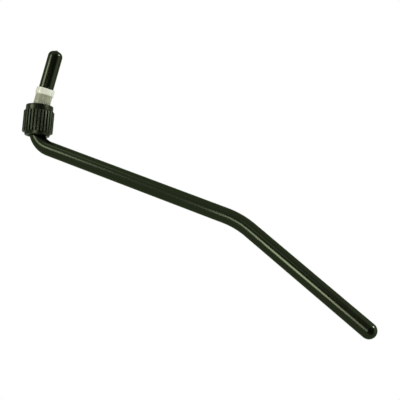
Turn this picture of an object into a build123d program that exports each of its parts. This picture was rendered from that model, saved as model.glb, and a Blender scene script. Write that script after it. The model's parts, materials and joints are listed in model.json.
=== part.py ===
from build123d import *
import os
from math import cos, radians, sin, sqrt, tan

# A guitar tremolo arm: a bent steel rod whose upright pin plugs into the bridge's arm holder.
# A nylon sleeve is the pin's bearing, and a ribbed collar nut holds the arm in.
# Millimetres. +Z runs up the pin to its tip, and +X is the side that the arm reaches to.
# The origin is on the pin's axis, at the foot of the bare pin, where the sleeve ends.

os.makedirs("parts", exist_ok=True)

# The rod and its bends
rod_diameter = 6.0
bare_pin_length = 16.6      # from the sleeve's end to the pin's tip
pin_corner_depth = 22.8     # from the origin down to where the pin's and long run's axes meet
pin_bend_radius = 10.2      # radii are to the rod's centreline
long_run_length = 96.1      # from the pin's corner to the handle's corner
long_run_drop = 5.6         # degrees that the long run falls below level
handle_bend_radius = 34.0
handle_length = 64.1        # from the handle's corner to the end of its dome
handle_drop = 24.4          # degrees that the handle falls below level
tip_cone_angle = 20.0       # degrees that the tip's flat cone falls from its point
tip_shoulder_radius = 2.2

# The grooves turned in the pin
snap_groove_width = 1.3     # takes the sleeve's lip, just under the origin
snap_groove_depth = 0.3
ring_groove_depth = 0.35
ring_land = 0.55            # full rod left between the ring's groove and the bend

# The nylon sleeve
sleeve_wall = 0.4
rim_step = 0.35             # the rim and the flange stand this far out of the sleeve's body
rim_length = 2.7
rim_chamfer = 0.3
rim_round = 0.15
flange_step = 0.75
flange_thickness = 1.0

# The retaining ring
ring_step = 1.1             # how far it stands out of the rod
ring_thickness = 1.0
ring_gap = 2.6

# The slip washer
washer_thickness = 0.8

# The collar nut
collar_length = 12.7
collar_wall = 0.7           # outside the relief, which is the bore's widest part
band_length = 2.3           # the plain band above the ribs
band_round = 0.4
foot_length = 1.4           # the tapered foot below the ribs
foot_step = 0.2             # from the ribs' root in to the foot
foot_wall = 1.3             # round the web's hole, at the bottom of the foot
foot_round = 0.35
rib_count = 28
rib_height = 0.65
rib_crest_width = 0.68
rib_base_width = 0.88
rib_chamfer = 0.4
thread_depth = 7.0
relief_step = 0.305         # from the thread's crests out to the relief
mouth_chamfer = 0.45
web_thickness = 1.4

# Where the loose collar rests, hung on the bend
seat_angle = 33.2           # degrees round the bend that its web has slid
collar_tilt = 11.8          # degrees that its axis leans from the pin's
hang_offset = 0.18          # from the bend's centreline towards +X

# Clearances
running_fit = 0.05          # radial, between the sleeve and the rod
end_play = 0.05             # between faces that turn on each other
ring_play = 0.03            # round the ring in its groove
thread_room = 0.395         # radial, between the sleeve's flange and the collar's thread
washer_room = 0.095         # radial, between the washer and the collar's thread
bend_gap = 0.13             # radial, between the bend and the holes that lean round it

# Radii that follow from the rod outwards
rod_radius = rod_diameter / 2
sleeve_bore = rod_radius + running_fit
sleeve_radius = sleeve_bore + sleeve_wall
rim_radius = sleeve_radius + rim_step
flange_radius = sleeve_radius + flange_step
ring_radius = rod_radius + ring_step
thread_radius = flange_radius + thread_room     # the thread's crests: 10 mm by 0.75 mm pitch
washer_radius = thread_radius - washer_room
relief_radius = thread_radius + relief_step
band_radius = relief_radius + collar_wall       # the ribs' root, too

# The holes that lean round the bend. bend_out and bend_up go from the web's centre to the bend's, in
# the collar's frame. The bend's inner side reaches furthest from the collar's axis at the web's
# lower face, and its outer side at the washer's upper face.
lean = radians(seat_angle - collar_tilt)
bend_out = pin_bend_radius * cos(lean) - hang_offset * cos(radians(collar_tilt))
bend_up = pin_bend_radius * sin(lean) - hang_offset * sin(radians(collar_tilt))
web_low = -web_thickness / 2
washer_high = web_thickness / 2 + end_play + washer_thickness
inner_reach = bend_out - sqrt((pin_bend_radius - rod_radius) ** 2 - (bend_up - web_low) ** 2)
outer_reach = sqrt((pin_bend_radius + rod_radius) ** 2 - (bend_up - washer_high) ** 2) - bend_out
web_hole_radius = inner_reach + bend_gap
washer_hole_radius = outer_reach + bend_gap

# Heights of what is stacked on the pin, from the bend up
turn = 90 - long_run_drop
bend_top = -pin_corner_depth + pin_bend_radius * tan(radians(turn / 2))
ring_bottom = bend_top + ring_land + ring_play
ring_top = ring_bottom + ring_thickness
sleeve_bottom = ring_top + end_play
sleeve_top = -end_play


def turned(*outline):
    """A solid turned about Z from an outline of (radius, height) points."""
    return revolve(Plane.XZ * make_face(Polyline(*outline, close=True)), Axis.Z)


def tube(inner, outer, low, high):
    """A plain tube about Z, by its radii and end heights."""
    return turned((inner, low), (outer, low), (outer, high), (inner, high))


def circles_at(solid, height, radius):
    """The solid's circular edges at one height and radius."""
    edges = solid.edges().filter_by(GeomType.CIRCLE)
    return [e for e in edges if abs(e.center().Z - height) < 1e-4 and abs(e.radius - radius) < 1e-4]


def make_pin():
    """The straight pin, from the bend up to its flat-coned tip, with its two grooves."""
    cone_drop = rod_radius * tan(radians(tip_cone_angle))
    shoulder = bare_pin_length - cone_drop
    pin = turned((0, bend_top), (rod_radius, bend_top), (rod_radius, shoulder), (0, bare_pin_length))
    pin = fillet(circles_at(pin, shoulder, rod_radius), tip_shoulder_radius)
    beyond = rod_radius + 1
    pin -= tube(rod_radius - snap_groove_depth, beyond, -snap_groove_width, 0)
    pin -= tube(rod_radius - ring_groove_depth, beyond, ring_bottom - ring_play, ring_top + ring_play)
    return pin


def make_arm_bar():
    """The bent rod: the pin, the long run and the handle, with a domed free end."""
    pin_foot = Vector(0, 0, bend_top)
    pin_corner = Vector(0, 0, -pin_corner_depth)
    along_run = Vector(cos(radians(long_run_drop)), 0, -sin(radians(long_run_drop)))
    along_handle = Vector(cos(radians(handle_drop)), 0, -sin(radians(handle_drop)))
    handle_corner = pin_corner + along_run * long_run_length
    dome_centre = handle_corner + along_handle * (handle_length - rod_radius)
    pin_arc_end = pin_corner + along_run * (bend_top + pin_corner_depth)
    handle_tangent = handle_bend_radius * tan(radians((handle_drop - long_run_drop) / 2))
    handle_arc_start = handle_corner - along_run * handle_tangent
    handle_arc_end = handle_corner + along_handle * handle_tangent
    pin_arc = TangentArc(pin_foot, pin_arc_end, tangent=(0, 0, -1))
    long_run = Line(pin_arc_end, handle_arc_start)
    handle_arc = TangentArc(handle_arc_start, handle_arc_end, tangent=along_run)
    handle = Line(handle_arc_end, dome_centre)
    rod = sweep(Plane(pin_foot) * Circle(rod_radius), pin_arc + long_run + handle_arc + handle)
    dome = Pos(dome_centre) * Sphere(rod_radius)
    return make_pin() + rod + dome


def make_nylon_sleeve():
    """The bush on the pin: a rim with a lip inside that snaps in the groove, and a foot flange."""
    rim_bottom = sleeve_top - rim_length
    lip = sleeve_bore - snap_groove_depth
    lip_bottom = -snap_groove_width + end_play
    sleeve = tube(sleeve_bore, flange_radius, sleeve_bottom, sleeve_bottom + flange_thickness)
    sleeve += tube(sleeve_bore, sleeve_radius, sleeve_bottom, rim_bottom)
    sleeve += turned(
        (sleeve_bore, rim_bottom),
        (rim_radius - rim_chamfer, rim_bottom),
        (rim_radius, rim_bottom + rim_chamfer),
        (rim_radius, sleeve_top),
        (lip, sleeve_top),
        (lip, lip_bottom),
        (sleeve_bore, lip_bottom),
    )
    return fillet(circles_at(sleeve, sleeve_top, rim_radius), rim_round)


def make_retaining_ring():
    """The open steel ring in the rod's lower groove, with its gap on the side away from the arm."""
    inner = rod_radius - ring_groove_depth + ring_play
    ring = tube(inner, ring_radius, ring_bottom, ring_top)
    gap = Box(2 * ring_radius, ring_gap, 2 * ring_thickness)
    return ring - Pos(-ring_radius, 0, (ring_bottom + ring_top) / 2) * gap


def collar_place():
    """Where the collar's frame is: its foot's centre, with its axis leaned over the bend."""
    angle = radians(seat_angle)
    web_x = pin_bend_radius * (1 - cos(angle))
    web_z = bend_top - pin_bend_radius * sin(angle)
    return Pos(web_x + hang_offset, 0, web_z) * Rot(0, -collar_tilt, 0) * Pos(0, 0, -web_thickness / 2)


def make_slip_washer():
    """The nylon washer on the collar's web, modelled with the collar's foot at the origin."""
    low = web_thickness + end_play
    return tube(washer_hole_radius, washer_radius, low, low + washer_thickness)


def make_ribs():
    """The straight ribs round the collar, with upper ends chamfered and a groove towards +X."""
    crest = band_radius + rib_height
    inside = relief_radius + collar_wall / 2
    length = collar_length - band_length - foot_length
    section = Polyline(
        (inside, -rib_base_width / 2),
        (band_radius, -rib_base_width / 2),
        (crest, -rib_crest_width / 2),
        (crest, rib_crest_width / 2),
        (band_radius, rib_base_width / 2),
        (inside, rib_base_width / 2),
        close=True,
    )
    chamfer_start = length - rib_chamfer
    envelope = turned((0, 0), (crest, 0), (crest, chamfer_start), (crest - rib_chamfer, length), (0, length))
    rib = Pos(0, 0, foot_length) * (extrude(make_face(section), length) & envelope)
    return [Rot(0, 0, 360 * (k + 0.5) / rib_count) * rib for k in range(rib_count)]


def make_collar_nut():
    """The ribbed nut, with its foot's centre at the origin: web below, threaded bore above."""
    foot_top = band_radius - foot_step
    foot_bottom = web_hole_radius + foot_wall
    collar = turned(
        (0, 0),
        (foot_bottom, 0),
        (foot_top, foot_length),
        (band_radius, foot_length),
        (band_radius, collar_length),
        (0, collar_length),
    )
    collar = fillet(circles_at(collar, collar_length, band_radius), band_round)
    collar = fillet(circles_at(collar, 0, foot_bottom), foot_round)
    collar += make_ribs()
    collar -= Cylinder(web_hole_radius, 2 * collar_length)
    thread_bottom = collar_length - thread_depth
    return collar - turned(
        (0, web_thickness),
        (relief_radius, web_thickness),
        (relief_radius, thread_bottom),
        (thread_radius, thread_bottom),
        (thread_radius, collar_length - mouth_chamfer),
        (thread_radius + mouth_chamfer, collar_length),
        (0, collar_length),
    )


nodes = {
    "arm_bar": make_arm_bar(),
    "nylon_sleeve": make_nylon_sleeve(),
    "retaining_ring": make_retaining_ring(),
    "slip_washer": collar_place() * make_slip_washer(),
    "collar_nut": collar_place() * make_collar_nut(),
}
for name, solid in nodes.items():
    export_step(solid, f"parts/{name}.step")
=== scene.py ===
import json
from math import cos, pi, radians, sin, tan

import bmesh
import bpy
from mathutils import Matrix, Vector


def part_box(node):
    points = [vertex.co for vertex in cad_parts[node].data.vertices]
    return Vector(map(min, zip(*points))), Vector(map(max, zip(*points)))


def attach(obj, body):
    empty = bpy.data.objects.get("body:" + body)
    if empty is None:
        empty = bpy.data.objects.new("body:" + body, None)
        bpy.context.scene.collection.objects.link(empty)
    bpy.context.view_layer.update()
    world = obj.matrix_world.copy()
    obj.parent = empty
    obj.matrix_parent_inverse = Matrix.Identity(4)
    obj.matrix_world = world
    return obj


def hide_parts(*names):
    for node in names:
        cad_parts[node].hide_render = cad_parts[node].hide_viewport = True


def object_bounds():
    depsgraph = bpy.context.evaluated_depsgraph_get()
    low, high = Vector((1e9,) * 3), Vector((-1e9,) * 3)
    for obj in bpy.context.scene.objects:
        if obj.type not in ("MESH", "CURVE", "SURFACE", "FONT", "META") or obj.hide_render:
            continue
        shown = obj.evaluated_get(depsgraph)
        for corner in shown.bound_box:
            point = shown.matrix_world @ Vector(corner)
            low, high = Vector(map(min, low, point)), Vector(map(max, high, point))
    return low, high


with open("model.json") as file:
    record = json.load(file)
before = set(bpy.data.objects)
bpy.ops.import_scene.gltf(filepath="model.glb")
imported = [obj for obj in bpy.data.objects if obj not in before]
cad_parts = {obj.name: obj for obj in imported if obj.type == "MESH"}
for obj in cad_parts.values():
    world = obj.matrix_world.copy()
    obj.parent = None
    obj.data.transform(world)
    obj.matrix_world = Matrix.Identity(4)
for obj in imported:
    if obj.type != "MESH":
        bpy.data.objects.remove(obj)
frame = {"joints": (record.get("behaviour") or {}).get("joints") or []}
cad_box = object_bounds()


# ---------------------------------------------------------------------------------------------
# The arm: 6 mm round steel bar, turned with a flat-coned tip and two grooves, bent twice cold,
# domed at its free end and then plated gloss black. Everything else is carried on it.

mm = 0.001
rod_radius = 3.0 * mm
pin_corner_depth = 22.8 * mm        # where the pin's and the long run's centrelines meet
pin_bend_radius = 10.2 * mm
long_run_length = 96.1 * mm
long_run_drop = radians(5.6)
handle_bend_radius = 34.0 * mm
handle_length = 64.1 * mm
handle_drop = radians(24.4)
tip_cone_angle = radians(20)
tip_shoulder_radius = 2.2 * mm
tip_nub_radius = 0.42 * mm          # what the parting tool leaves
tip_nub_height = 0.11 * mm
snap_groove_low = -1.3 * mm
snap_groove_radius = 2.7 * mm
ring_groove_radius = 2.65 * mm
groove_play = 0.03 * mm
groove_round = 0.05 * mm
around_rod = 96                     # faces round the rod, along each bend and down the dome
pin_bend_steps = 48
handle_bend_steps = 24
dome_steps = 14
same_place = 0.0001 * mm            # vertices closer than this are one
sharp_angle = radians(38)           # faces that meet at more than this have a sharp edge
tip_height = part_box("arm_bar")[1].z
ring_low, ring_high = (corner.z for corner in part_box("retaining_ring"))


def rounded(corners, steps=5):
    """An outline's points, from corners of (radius, height, rounding), each rounded off."""
    points = []
    for i, (across, height, rounding) in enumerate(corners):
        corner = Vector((across, height))
        if not rounding:
            points.append(corner)
            continue
        back = (Vector(corners[i - 1][:2]) - corner).normalized()
        onward = (Vector(corners[(i + 1) % len(corners)][:2]) - corner).normalized()
        half = back.angle(onward) / 2
        centre = corner + (back + onward).normalized() * rounding / sin(half)
        start = corner + back * rounding / tan(half) - centre
        end = corner + onward * rounding / tan(half) - centre
        for k in range(steps + 1):
            points.append(centre + start.lerp(end, k / steps).normalized() * rounding)
    return points


def lathe(shape, outline, faces_round, closed=False):
    """Spins an outline of (radius, height) points a full turn about Z, like work on a lathe."""
    verts = [shape.verts.new((across, 0, height)) for across, height in outline]
    ends = zip(verts, verts[1:] + verts[:1] if closed else verts[1:])
    edges = [shape.edges.new(pair) for pair in ends]
    bmesh.ops.spin(shape, geom=verts + edges, cent=(0, 0, 0), axis=(0, 0, 1), angle=2 * pi,
                   steps=faces_round, use_merge=True)


def bent(shape, edges, centre, axis, angle, steps):
    """Carries a loop of edges round a bend, and returns the loop at the bend's end."""
    bend = bmesh.ops.spin(shape, geom=edges, cent=centre, axis=axis, angle=angle, steps=steps)
    return [e for e in bend["geom_last"] if isinstance(e, bmesh.types.BMEdge)]


def drawn_out(shape, edges, move):
    """Draws a loop of edges out along a straight run, and returns the loop at the run's end."""
    run = bmesh.ops.extrude_edge_only(shape, edges=edges)["geom"]
    far_verts = [v for v in run if isinstance(v, bmesh.types.BMVert)]
    bmesh.ops.translate(shape, vec=move, verts=far_verts)
    return [e for e in run if isinstance(e, bmesh.types.BMEdge) and e.is_boundary]


def finished(name, shape, material):
    """The object of a shape: doubles merged, faces outwards, smooth between its sharp edges."""
    bmesh.ops.remove_doubles(shape, verts=shape.verts, dist=same_place)
    bmesh.ops.recalc_face_normals(shape, faces=shape.faces)
    mesh = bpy.data.meshes.new(name)
    shape.to_mesh(mesh)
    shape.free()
    mesh.shade_smooth()
    mesh.set_sharp_from_angle(angle=sharp_angle)
    mesh.materials.append(material)
    piece = bpy.data.objects.new(name, mesh)
    bpy.context.scene.collection.objects.link(piece)
    return piece


def wire(tree, target, inputs):
    """Sets or links a node's inputs, by (socket, value) pairs."""
    for socket, value in inputs:
        if isinstance(value, bpy.types.NodeSocket):
            tree.links.new(value, target.inputs[socket])
        else:
            target.inputs[socket].default_value = value


def node(tree, kind, inputs=(), **settings):
    """A new shader node with its settings, and with its inputs set or linked."""
    new = tree.nodes.new(kind)
    for setting, value in settings.items():
        setattr(new, setting, value)
    wire(tree, new, inputs)
    return new


def new_finish(name):
    """A new material, with its node tree, its surface shader and its object coordinates."""
    material = bpy.data.materials.new(name)
    material.use_nodes = True
    tree = material.node_tree
    place = node(tree, "ShaderNodeTexCoord").outputs["Object"]
    return material, tree, tree.nodes["Principled BSDF"], place


def finish_group(name, inputs, outputs):
    """A node group for an effect that several finishes share, with its ends for wiring it up."""
    group = bpy.data.node_groups.new(name, "ShaderNodeTree")
    for socket, kind in inputs:
        group.interface.new_socket(socket, in_out="INPUT", socket_type=kind)
    for socket, kind in outputs:
        group.interface.new_socket(socket, in_out="OUTPUT", socket_type=kind)
    return group, group.nodes.new("NodeGroupInput"), group.nodes.new("NodeGroupOutput")


# Grain: the fine unevenness of a plated or moulded face, as roughness and as height.
grain, grain_in, grain_out = finish_group(
    "grain",
    [("Place", "NodeSocketVector"), ("Grains per metre", "NodeSocketFloat"),
     ("Smoothest", "NodeSocketFloat"), ("Roughest", "NodeSocketFloat")],
    [("Roughness", "NodeSocketFloat"), ("Height", "NodeSocketFloat")])
fine = node(grain, "ShaderNodeTexNoise", [
    ("Vector", grain_in.outputs["Place"]), ("Scale", grain_in.outputs["Grains per metre"]),
    ("Detail", 4.0), ("Roughness", 0.6)])
broad = node(grain, "ShaderNodeTexNoise", [
    ("Vector", grain_in.outputs["Place"]), ("Scale", 130.0), ("Detail", 3.0), ("Roughness", 0.5)])
both = node(grain, "ShaderNodeMix", [
    (0, 0.55), (2, fine.outputs["Fac"]), (3, broad.outputs["Fac"])])
spread = node(grain, "ShaderNodeMapRange", [
    ("Value", both.outputs[0]), ("From Min", 0.35), ("From Max", 0.65),
    ("To Min", grain_in.outputs["Smoothest"]), ("To Max", grain_in.outputs["Roughest"])])
wire(grain, grain_out, [("Roughness", spread.outputs["Result"]), ("Height", fine.outputs["Fac"])])


def grained(tree, place, grains_per_metre, smoothest, roughest):
    """A face's grain, as a node with its roughness and its height."""
    return node(tree, "ShaderNodeGroup", node_tree=grain, inputs=[
        ("Place", place), ("Grains per metre", grains_per_metre),
        ("Smoothest", smoothest), ("Roughest", roughest)])


# Wear and sheen: a mask of what stands furthest from an axis, broken up, where handling wears a
# finish and, on the collar's rib crests, where a highlight is painted in.
wear_and_sheen, wear_and_sheen_in, wear_and_sheen_out = finish_group(
    "wear_and_sheen",
    [("Place", "NodeSocketVector"), ("Worn from", "NodeSocketFloat"),
     ("Worn at", "NodeSocketFloat")],
    [("Mask", "NodeSocketFloat")])
flat = node(wear_and_sheen, "ShaderNodeVectorMath", [(0, wear_and_sheen_in.outputs["Place"]), (1, (1, 1, 0))],
            operation="MULTIPLY")
reach = node(wear_and_sheen, "ShaderNodeVectorMath", [(0, flat.outputs["Vector"])], operation="LENGTH")
outer = node(wear_and_sheen, "ShaderNodeMapRange", [
    ("Value", reach.outputs["Value"]), ("From Min", wear_and_sheen_in.outputs["Worn from"]),
    ("From Max", wear_and_sheen_in.outputs["Worn at"])])
patches = node(wear_and_sheen, "ShaderNodeTexNoise", [
    ("Vector", wear_and_sheen_in.outputs["Place"]), ("Scale", 900.0), ("Detail", 5.0), ("Roughness", 0.7)])
broken = node(wear_and_sheen, "ShaderNodeMapRange", [
    ("Value", patches.outputs["Fac"]), ("From Min", 0.30), ("From Max", 0.55)])
worn_and_sheen = node(wear_and_sheen, "ShaderNodeMath", [(0, outer.outputs["Result"]), (1, broken.outputs["Result"])],
            operation="MULTIPLY")
wire(wear_and_sheen, wear_and_sheen_out, [("Mask", worn_and_sheen.outputs["Value"])])


def wear_and_sheen_mask(tree, place, mask_from, mask_at):
    """Where a finish is rubbed off between two distances from the Z axis, as a mask; on the
    collar's crests it also paints a highlight.
    """
    return node(tree, "ShaderNodeGroup", node_tree=wear_and_sheen, inputs=[
        ("Place", place), ("Worn from", mask_from), ("Worn at", mask_at)]).outputs["Mask"]


# Gloss black plating with a green cast, slightly uneven, and dulled along the pin where it slides.
gloss_black, tree, shader, place = new_finish("gloss_black_plating")
plating = grained(tree, place, 700.0, 0.19, 0.22)
height = node(tree, "ShaderNodeSeparateXYZ", [("Vector", place)]).outputs["Z"]
on_pin = node(tree, "ShaderNodeMapRange", [
    ("Value", height), ("From Min", -0.4 * mm), ("From Max", 2.5 * mm)]).outputs["Result"]
drawn = node(tree, "ShaderNodeMapping", [("Vector", place), ("Scale", (1, 1, 0.04))],
             vector_type="POINT")
scores = node(tree, "ShaderNodeTexNoise", [
    ("Vector", drawn.outputs["Vector"]), ("Scale", 5200.0), ("Detail", 3.0)])
scored = node(tree, "ShaderNodeMapRange", [
    ("Value", scores.outputs["Fac"]), ("From Min", 0.5), ("From Max", 0.75), ("To Max", 0.12)])
slid = node(tree, "ShaderNodeMath", [(0, scored.outputs["Result"]), (1, on_pin)],
            operation="MULTIPLY")
roughness = node(tree, "ShaderNodeMath", [
    (0, plating.outputs["Roughness"]), (1, slid.outputs["Value"])], operation="ADD", use_clamp=True)
tone = node(tree, "ShaderNodeMix", [
    (0, plating.outputs["Height"]), (6, (0.038, 0.046, 0.030, 1)), (7, (0.043, 0.051, 0.034, 1))],
    data_type="RGBA")
orange_peel = node(tree, "ShaderNodeBump", [
    ("Strength", 0.012), ("Distance", 0.02 * mm), ("Height", plating.outputs["Height"])])
wire(tree, shader, [
    ("Metallic", 1.0), ("Specular Tint", (0.62, 0.68, 0.56, 1)), ("Base Color", tone.outputs[2]),
    ("Roughness", roughness.outputs["Value"]), ("Normal", orange_peel.outputs["Normal"])])

pin_turn = pi / 2 - long_run_drop
pin_tangent = pin_bend_radius * tan(pin_turn / 2)
bend_top = pin_tangent - pin_corner_depth
shoulder_height = tip_height - rod_radius * tan(tip_cone_angle)
nub_foot = tip_height - tip_nub_radius * tan(tip_cone_angle)
pin_outline = rounded([
    (0, nub_foot + tip_nub_height, 0),
    (tip_nub_radius, nub_foot + tip_nub_height, 0.05 * mm),
    (tip_nub_radius, nub_foot, 0),
    (rod_radius, shoulder_height, tip_shoulder_radius),
    (rod_radius, 0, groove_round),
    (snap_groove_radius, 0, groove_round),
    (snap_groove_radius, snap_groove_low, groove_round),
    (rod_radius, snap_groove_low, groove_round),
    (rod_radius, ring_high + groove_play, groove_round),
    (ring_groove_radius, ring_high + groove_play, groove_round),
    (ring_groove_radius, ring_low - groove_play, groove_round),
    (rod_radius, ring_low - groove_play, groove_round),
    (rod_radius, bend_top, 0),
], steps=7)

along_run = Vector((cos(long_run_drop), 0, -sin(long_run_drop)))
above_run = Vector((sin(long_run_drop), 0, cos(long_run_drop)))
along_handle = Vector((cos(handle_drop), 0, -sin(handle_drop)))
above_handle = Vector((sin(handle_drop), 0, cos(handle_drop)))
handle_turn = handle_drop - long_run_drop
handle_tangent = handle_bend_radius * tan(handle_turn / 2)
pin_corner = Vector((0, 0, -pin_corner_depth))
handle_corner = pin_corner + along_run * long_run_length
handle_bend_centre = handle_corner - along_run * handle_tangent - above_run * handle_bend_radius
dome_centre = handle_corner + along_handle * (handle_length - rod_radius)

bar = bmesh.new()
lathe(bar, pin_outline, around_rod)
bmesh.ops.remove_doubles(bar, verts=bar.verts, dist=same_place)
loop = [e for e in bar.edges if e.is_boundary]
loop = bent(bar, loop, (pin_bend_radius, 0, bend_top), (0, -1, 0), pin_turn, pin_bend_steps)
loop = drawn_out(bar, loop, along_run * (long_run_length - pin_tangent - handle_tangent))
loop = bent(bar, loop, handle_bend_centre, (0, 1, 0), handle_turn, handle_bend_steps)
loop = drawn_out(bar, loop, along_handle * (handle_length - rod_radius - handle_tangent))
quarter = [pi / 2 * k / dome_steps for k in range(dome_steps + 1)]
dome_line = [
    bar.verts.new(dome_centre + (above_handle * cos(a) + along_handle * sin(a)) * rod_radius)
    for a in quarter]
dome_edges = [bar.edges.new(pair) for pair in zip(dome_line, dome_line[1:])]
bmesh.ops.spin(bar, geom=dome_line + dome_edges, cent=dome_centre, axis=along_handle, angle=2 * pi,
               steps=around_rod, use_merge=True)
plated_bar = finished("plated_bar", bar, gloss_black)
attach(plated_bar, "arm")
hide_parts("arm_bar")


# ---------------------------------------------------------------------------------------------
# The collar nut: turned from steel, broached with 28 straight ribs, tapped inside for the arm
# holder and plated satin black. It hangs loose on the bend, with its axis leaning from the pin's.

collar_root = 5.6 * mm              # the plain band, and between the ribs
collar_length = 12.7 * mm
band_length = 2.3 * mm
foot_length = 1.4 * mm
foot_top_radius = 5.4 * mm
foot_bottom_radius = 5.039 * mm
foot_step_rise = 0.001 * mm         # the step at the foot's top is all but level
web_hole_radius = 3.74 * mm
thread_major = 4.9 * mm
thread_minor = 4.595 * mm
thread_pitch = 0.75 * mm
thread_depth = 7.0 * mm
thread_turns = 7.8
ridge_sink = 0.03 * mm              # how far the ridge's foot is sunk in the bore
ridge_crest_half = 0.05 * mm        # half the ridge's flat crest
ridge_flank = radians(30)
ridge_fade = 0.12 * mm              # the rise in which the ridge fades in and out
mouth_chamfer = 0.145 * mm
rib_count = 28
rib_height = 0.65 * mm
rib_crest_width = 0.68 * mm
rib_chamfer = 0.4 * mm
rib_round = 0.06 * mm
rib_columns, groove_columns = 5, 2  # how many faces go round a rib, and a groove
near_rib = 0.6                      # a rib's own vertices are within this share of its angle
near_root = 0.1 * mm                # how near the ribs' root counts as being on it
hair = 0.01 * mm                    # closer than this, two heights or radii count as one
rib_corner = radians(30)            # a rib's edges that turn by more than this are rounded
thread_steps = 60                   # faces in one turn of the thread

hang = next(j for j in frame["joints"] if j["name"] == "collar_turn")
foot_centre = Vector(hang["pos_m"])
collar_axis = Vector(hang["axis"])
upright = Vector((0, 0, 1))
collar_lean = upright.rotation_difference(collar_axis)
collar_place = Matrix.Translation(foot_centre) @ collar_lean.to_matrix().to_4x4()

collar = bmesh.new()
rib_top = collar_length - band_length
columns = rib_count * (rib_columns + groove_columns)
lathe(collar, rounded([
    (web_hole_radius, 0, 0.15 * mm),
    (foot_bottom_radius, 0, 0.35 * mm),
    (foot_top_radius, foot_length - foot_step_rise, 0),
    (collar_root, foot_length, 0),
    (collar_root, rib_top, 0),
    (collar_root, collar_length, 0.4 * mm),
    (thread_major + mouth_chamfer, collar_length, 0.1 * mm),
    (thread_major, collar_length - mouth_chamfer, 0),
    (thread_major, foot_length, 0.3 * mm),
    (web_hole_radius, foot_length, 0.12 * mm),
]), columns, closed=True)
bmesh.ops.remove_doubles(collar, verts=collar.verts, dist=same_place)
column_angle = 2 * pi / columns
rib_angle = column_angle * rib_columns
half_rib_back = Matrix.Rotation(-rib_angle / 2, 3, "Z")
bmesh.ops.rotate(collar, cent=(0, 0, 0), matrix=half_rib_back, verts=collar.verts)


def angle_round(point):
    """A point's angle round the Z axis, counted from half a rib before the X axis."""
    return (rib_angle / 2 - Vector((1, 0)).angle_signed(point.xy)) % (2 * pi)


def on_rib(face):
    """Whether a face of the plain collar is one that a rib stands on."""
    middle = face.calc_center_median()
    if not foot_length < middle.z < rib_top or middle.xy.length < collar_root - near_root:
        return False
    return int(angle_round(middle) / column_angle) % (rib_columns + groove_columns) < rib_columns


rib_feet = [f for f in collar.faces if on_rib(f)]
risen = bmesh.ops.extrude_face_region(collar, geom=rib_feet)["geom"]
bmesh.ops.delete(collar, geom=[f for f in rib_feet if f.is_valid], context="FACES_ONLY")
crests = [v for v in risen if isinstance(v, bmesh.types.BMVert)]
foot_half_width = collar_root * sin(rib_angle / 2)
outwards = (collar_root + rib_height) / collar_root
narrower = rib_crest_width / 2 / foot_half_width
for k in range(rib_count):
    rib_turn = 2 * pi * k / rib_count
    own = []
    for v in crests:
        off_centre = (angle_round(v.co) - rib_angle / 2 - rib_turn + pi) % (2 * pi) - pi
        if abs(off_centre) < rib_angle * near_rib:
            own.append(v)
    bmesh.ops.scale(collar, vec=(outwards, narrower, 1),
                    space=Matrix.Rotation(-rib_turn, 4, "Z"), verts=own)
crests = set(crests)
top_edges = [
    e for e in collar.edges
    if set(e.verts) <= crests and min(v.co.z for v in e.verts) > rib_top - hair]
bmesh.ops.bevel(collar, geom=top_edges, offset=rib_chamfer, segments=1, profile=0.5,
                affect="EDGES", material=-1)
rib_edges = [
    e for e in collar.edges
    if len(e.link_faces) == 2 and e.calc_face_angle() > rib_corner
    and max(v.co.xy.length for v in e.verts) > collar_root + near_root]
bmesh.ops.bevel(collar, geom=rib_edges, offset=rib_round, segments=2, profile=0.5, affect="EDGES",
                clamp_overlap=True, material=-1)

# The thread's ridge, one long helix that fades into the bore at both its ends.
ridge_foot = thread_major + ridge_sink
ridge_foot_half = ridge_crest_half + (ridge_foot - thread_minor) * tan(ridge_flank)
thread_low = collar_length - thread_depth + ridge_foot_half
ridge_line = [
    (ridge_foot, -ridge_foot_half), (thread_minor, -ridge_crest_half),
    (thread_minor, ridge_crest_half), (ridge_foot, ridge_foot_half)]
ridge_start = [collar.verts.new((across, 0, thread_low + rise)) for across, rise in ridge_line]
ridge_pairs = zip(ridge_start, ridge_start[1:] + ridge_start[:1])
ridge_edges = [collar.edges.new(pair) for pair in ridge_pairs]
known = set(collar.verts) - set(ridge_start)
helix = bmesh.ops.spin(
    collar, geom=ridge_edges, cent=(0, 0, 0), axis=(0, 0, 1), angle=2 * pi * thread_turns,
    dvec=(0, 0, thread_pitch / thread_steps), steps=round(thread_turns * thread_steps))
last = helix["geom_last"]
collar.faces.new(ridge_start)
collar.faces.new([v for v in last if isinstance(v, bmesh.types.BMVert)])
ridge = [v for v in collar.verts if v not in known]
thread_high = max(v.co.z for v in ridge)
for v in ridge:
    from_end = min(v.co.z - thread_low - ridge_crest_half, thread_high - ridge_foot_half - v.co.z)
    run = from_end / ridge_fade
    if v.co.xy.length < ridge_foot - hair and run < 1:
        v.co.xy *= 1 + (ridge_foot / thread_minor - 1) * (1 - max(run, 0))

# A groove, not a rib, faces the side that the arm reaches to.
half_pitch = Matrix.Rotation(pi / rib_count, 3, "Z")
bmesh.ops.rotate(collar, cent=(0, 0, 0), matrix=half_pitch, verts=collar.verts)
collar.transform(collar_place)
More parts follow.
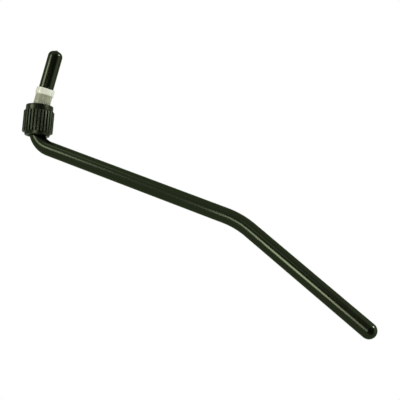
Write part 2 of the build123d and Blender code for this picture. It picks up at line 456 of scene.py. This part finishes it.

# Satin black plating, seen in the collar's own frame: its ribs' crests are paler and duller, worn
# by handling, and their paler tone is also a painted highlight.
satin_black, tree, shader, place = new_finish("satin_black_plating")
centred = node(tree, "ShaderNodeMapping", [
    ("Vector", place), ("Location", foot_centre), ("Rotation", collar_lean.to_euler())],
    vector_type="TEXTURE").outputs["Vector"]
blasted = grained(tree, centred, 4200.0, 0.28, 0.36)
crest_wear_and_sheen = wear_and_sheen_mask(tree, centred, 6.08 * mm, 6.27 * mm)
# The crests' pale colour is partly worn plating and partly a painted highlight on the crests.
tone = node(tree, "ShaderNodeMix", [
    (0, crest_wear_and_sheen), (6, (0.036, 0.044, 0.029, 1)), (7, (0.098, 0.114, 0.084, 1))],
    data_type="RGBA")
dulled = node(tree, "ShaderNodeMath", [
    (0, crest_wear_and_sheen), (1, 0.24), (2, blasted.outputs["Roughness"])], operation="MULTIPLY_ADD")
pitted = node(tree, "ShaderNodeBump", [
    ("Strength", 0.10), ("Distance", 0.012 * mm), ("Height", blasted.outputs["Height"])])
wire(tree, shader, [
    ("Metallic", 1.0), ("Base Color", tone.outputs[2]),
    ("Roughness", dulled.outputs["Value"]), ("Normal", pitted.outputs["Normal"])])

ribbed_collar = finished("ribbed_collar", collar, satin_black)
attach(ribbed_collar, "collar")
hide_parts("collar_nut")


# ---------------------------------------------------------------------------------------------
# The slip washer: a flat nylon ring, stamped from sheet, that lies loose on the collar's web so
# that the arm can swing while the collar is done up tight.

washer_low = 1.45 * mm              # above the collar's foot
washer_high = 2.25 * mm
washer_hole = 3.836 * mm
washer_radius = 4.5 * mm
washer_round = 0.1 * mm
around_washer = 96                  # faces round the washer

washer = bmesh.new()
lathe(washer, rounded([
    (washer_hole, washer_low, washer_round),
    (washer_radius, washer_low, washer_round),
    (washer_radius, washer_high, washer_round),
    (washer_hole, washer_high, washer_round),
], steps=3), around_washer, closed=True)
washer.transform(collar_place)

sheet_nylon, tree, shader, place = new_finish("sheet_nylon")
matt = grained(tree, place, 2600.0, 0.42, 0.58)
tone = node(tree, "ShaderNodeMix", [
    (0, matt.outputs["Height"]), (6, (0.80, 0.80, 0.73, 1)), (7, (0.88, 0.88, 0.83, 1))],
    data_type="RGBA")
wire(tree, shader, [
    ("Subsurface Weight", 0.4), ("Subsurface Radius", (1.0, 1.0, 0.8)),
    ("Subsurface Scale", 0.6 * mm), ("Base Color", tone.outputs[2]),
    ("Roughness", matt.outputs["Roughness"])])

thrust_washer = finished("thrust_washer", washer, sheet_nylon)
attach(thrust_washer, "washer")
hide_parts("slip_washer")


# ---------------------------------------------------------------------------------------------
# The retaining ring: an open ring stamped from spring steel and snapped into the bar's lower
# groove. The collar's washer comes up against it, and its gap faces away from the arm.

ring_inner = 2.68 * mm
ring_outer = 4.1 * mm
ring_gap_angle = radians(44)
ring_round = 0.08 * mm
ring_end_round = 0.05 * mm
around_ring = 84                    # faces round the ring

ring = bmesh.new()
section = [ring.verts.new((across, 0, height)) for across, height in rounded([
    (ring_inner, ring_low, ring_round),
    (ring_outer, ring_low, ring_round),
    (ring_outer, ring_high, ring_round),
    (ring_inner, ring_high, ring_round),
], steps=3)]
section_edges = [ring.edges.new(pair) for pair in zip(section, section[1:] + section[:1])]
ring_sweep = 2 * pi - ring_gap_angle
last = bmesh.ops.spin(ring, geom=section_edges, cent=(0, 0, 0), axis=(0, 0, 1), angle=ring_sweep,
                      steps=around_ring)["geom_last"]
ends = [
    ring.faces.new(section),
    ring.faces.new([v for v in last if isinstance(v, bmesh.types.BMVert)])]
half_sweep_back = Matrix.Rotation(-ring_sweep / 2, 3, "Z")
bmesh.ops.rotate(ring, cent=(0, 0, 0), matrix=half_sweep_back, verts=ring.verts)
bmesh.ops.bevel(ring, geom=list({e for f in ends for e in f.edges}), offset=ring_end_round,
                segments=2, profile=0.5, affect="EDGES", material=-1)

spring_steel, tree, shader, place = new_finish("spring_steel")
stamped = grained(tree, place, 3800.0, 0.26, 0.44)
bright_edge = wear_and_sheen_mask(tree, place, 3.7 * mm, ring_outer)
tone = node(tree, "ShaderNodeMix", [
    (0, bright_edge), (6, (0.36, 0.36, 0.36, 1)), (7, (0.52, 0.52, 0.51, 1))], data_type="RGBA")
rolled = node(tree, "ShaderNodeBump", [
    ("Strength", 0.2), ("Distance", 0.01 * mm), ("Height", stamped.outputs["Height"])])
wire(tree, shader, [
    ("Metallic", 1.0), ("Base Color", tone.outputs[2]),
    ("Roughness", stamped.outputs["Roughness"]), ("Normal", rolled.outputs["Normal"])])

snap_ring = finished("snap_ring", ring, spring_steel)
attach(snap_ring, "arm")
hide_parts("retaining_ring")


# ---------------------------------------------------------------------------------------------
# The sleeve: a thin bush moulded in natural nylon, pushed over the pin until the lip inside its
# rim snaps into the upper groove. It is thin enough that the black pin shows through its body.

sleeve_low, sleeve_high = (corner.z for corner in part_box("nylon_sleeve"))
sleeve_bore = 3.05 * mm
sleeve_radius = 3.45 * mm
rim_radius = 3.8 * mm
rim_length = 2.7 * mm
rim_chamfer = 0.3 * mm
lip_radius = 2.75 * mm
lip_length = 1.2 * mm
flange_radius = 4.2 * mm
flange_thickness = 1.0 * mm
around_sleeve = 128                 # faces round the sleeve
rim_low = sleeve_high - rim_length

sleeve = bmesh.new()
lathe(sleeve, rounded([
    (sleeve_bore, sleeve_low, 0.08 * mm),
    (flange_radius, sleeve_low, 0.12 * mm),
    (flange_radius, sleeve_low + flange_thickness, 0.12 * mm),
    (sleeve_radius, sleeve_low + flange_thickness, 0.2 * mm),
    (sleeve_radius, rim_low, 0.03 * mm),
    (rim_radius - rim_chamfer, rim_low, 0.01 * mm),
    (rim_radius, rim_low + rim_chamfer, 0.1 * mm),
    (rim_radius, sleeve_high, 0.15 * mm),
    (lip_radius, sleeve_high, 0.08 * mm),
    (lip_radius, sleeve_high - lip_length, 0.05 * mm),
    (sleeve_bore, sleeve_high - lip_length, 0.05 * mm),
]), around_sleeve, closed=True)

# Light that enters the thin body wanders as far as the black pin behind it, and is lost there;
# the thin body's duller, more olive colour is painted shade of that pin. In the thicker rim and
# flange it comes back out near where it went in.
nylons = []
for name, wander, dull, pale, smoothest, roughest in (
        ("thin_nylon_painted_shade", 4.6 * mm, (0.80, 0.85, 0.44, 1), (0.88, 0.92, 0.52, 1), 0.26, 0.36),
        ("thick_nylon", 0.7 * mm, (0.96, 0.96, 0.82, 1), (0.99, 0.99, 0.88, 1), 0.18, 0.26)):
    nylon, tree, shader, place = new_finish(name)
    moulding = grained(tree, place, 2200.0, smoothest, roughest)
    tone = node(tree, "ShaderNodeMix", [(0, moulding.outputs["Height"]), (6, dull), (7, pale)],
                data_type="RGBA")
    skin = node(tree, "ShaderNodeBump", [
        ("Strength", 0.15), ("Distance", 0.02 * mm), ("Height", moulding.outputs["Height"])])
    wire(tree, shader, [
        ("IOR", 1.53), ("Subsurface Weight", 1.0), ("Subsurface Radius", (1.0, 1.0, 1.0)),
        ("Subsurface Scale", wander), ("Base Color", tone.outputs[2]),
        ("Roughness", moulding.outputs["Roughness"]), ("Normal", skin.outputs["Normal"])])
    nylons.append(nylon)

nylon_bush = finished("nylon_bush", sleeve, nylons[0])
nylon_bush.data.materials.append(nylons[1])
for face in nylon_bush.data.polygons:
    face.material_index = not sleeve_low + flange_thickness < face.center.z < rim_low
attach(nylon_bush, "sleeve")
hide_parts("nylon_sleeve")


# ---------------------------------------------------------------------------------------------
# The studio: a pale floor and room that the camera sees as plain white, soft lights from the
# left, the front, the right and overhead, and a dim side to the room behind the camera.

scene = bpy.context.scene
scene.view_settings.view_transform = "Standard"
floor_height = cad_box[0][2]

world = bpy.data.worlds.new("studio")
scene.world = world
world.use_nodes = True
tree = world.node_tree
toward = node(tree, "ShaderNodeTexCoord").outputs["Generated"]
dim_heading = radians(35)           # from -Y round towards +X, which is behind the camera
dim_way = Vector((sin(dim_heading), -cos(dim_heading), 0.12)).normalized()
facing = node(tree, "ShaderNodeVectorMath", [(0, toward), (1, dim_way)], operation="DOT_PRODUCT")
room_light = node(tree, "ShaderNodeMapRange", [
    ("Value", facing.outputs["Value"]), ("From Min", 0.40), ("From Max", 0.90),
    ("To Min", 0.47), ("To Max", 0.08)], interpolation_type="SMOOTHSTEP")
room = node(tree, "ShaderNodeBackground", [
    ("Color", (0.88, 1.0, 0.72, 1)), ("Strength", room_light.outputs["Result"])])
backdrop = node(tree, "ShaderNodeBackground", [("Color", (1, 1, 1, 1)), ("Strength", 1.0)])
seen = node(tree, "ShaderNodeLightPath").outputs["Is Camera Ray"]
either = node(tree, "ShaderNodeMixShader", [
    (0, seen), (1, room.outputs[0]), (2, backdrop.outputs[0])])
wire(tree, tree.nodes["World Output"], [("Surface", either.outputs[0])])

white_floor = bpy.data.materials.new("white_floor")
white_floor.use_nodes = True
tree = white_floor.node_tree
lit = tree.nodes["Principled BSDF"]
wire(tree, lit, [("Base Color", (0.8, 0.8, 0.78, 1))])
glow = node(tree, "ShaderNodeEmission", [("Color", (1, 1, 1, 1)), ("Strength", 1.0)])
seen = node(tree, "ShaderNodeLightPath").outputs["Is Camera Ray"]
either = node(tree, "ShaderNodeMixShader", [
    (0, seen), (1, lit.outputs[0]), (2, glow.outputs[0])])
wire(tree, tree.nodes["Material Output"], [("Surface", either.outputs[0])])
ground = bmesh.new()
bmesh.ops.create_grid(ground, x_segments=1, y_segments=1, size=3.0)
bmesh.ops.translate(ground, vec=(0, 0, floor_height), verts=ground.verts)
floor = finished("floor", ground, white_floor)
floor.visible_glossy = False


def soft_light(name, centre, aim, width, height, radiance, colour=(1, 1, 0.93)):
    """A rectangular soft light of an even brightness, turned towards what it lights."""
    lamp = bpy.data.lights.new(name, "AREA")
    lamp.shape = "RECTANGLE"
    lamp.size = width
    lamp.size_y = height
    lamp.energy = radiance * pi * width * height
    lamp.color = colour
    light = bpy.data.objects.new(name, lamp)
    light.location = centre
    light.rotation_euler = (Vector(centre) - Vector(aim)).to_track_quat("Z", "Y").to_euler()
    light.visible_camera = False
    scene.collection.objects.link(light)
    return light


soft_light("left_softbox", (-0.51, -0.63, 0.08), (0, 0, 0), 0.30, 0.24, 6.2, (1.0, 0.94, 0.88))
soft_light("front_softbox", (0.051, -0.25, -0.068), (0.12, 0, -0.045), 0.082, 0.095, 8.2,
           (1.0, 0.96, 0.88))
soft_light("front_fill", (0.113, -0.25, -0.072), (0.14, 0, -0.05), 0.045, 0.095, 2.4,
           (1.0, 0.96, 0.88))
soft_light("right_softbox", (0.80, 0.25, 0.10), (0, 0, 0), 0.70, 0.45, 0.4)
soft_light("right_lamp", (0.60, 0.10, 0.55), (0.1, 0, -0.03), 0.21, 0.21, 22.0, (1, 1, 1))
soft_light("overhead_left", (-0.42, -0.47, 0.74), (0, 0, 0), 0.28, 0.20, 0.9)
soft_light("overhead_right", (0.137, -0.777, 0.59), (0.1, 0, -0.03), 0.25, 0.20, 0.9)

camera_data = bpy.data.cameras.new("camera")
camera_data.lens = 72
camera_data.sensor_width = 36
camera_data.clip_start = 0.01
camera = bpy.data.objects.new("camera", camera_data)
scene.collection.objects.link(camera)
camera_spot = Vector((0.18414, -0.28335, -0.03991))
camera_heading = radians(20.43)
camera_pitch = radians(2.18)
camera_roll = radians(15.41)
camera.matrix_world = (
    Matrix.Translation(camera_spot) @ Matrix.Rotation(camera_heading, 4, "Z")
    @ Matrix.Rotation(pi / 2 + camera_pitch, 4, "X") @ Matrix.Rotation(camera_roll, 4, "Z"))
scene.camera = camera
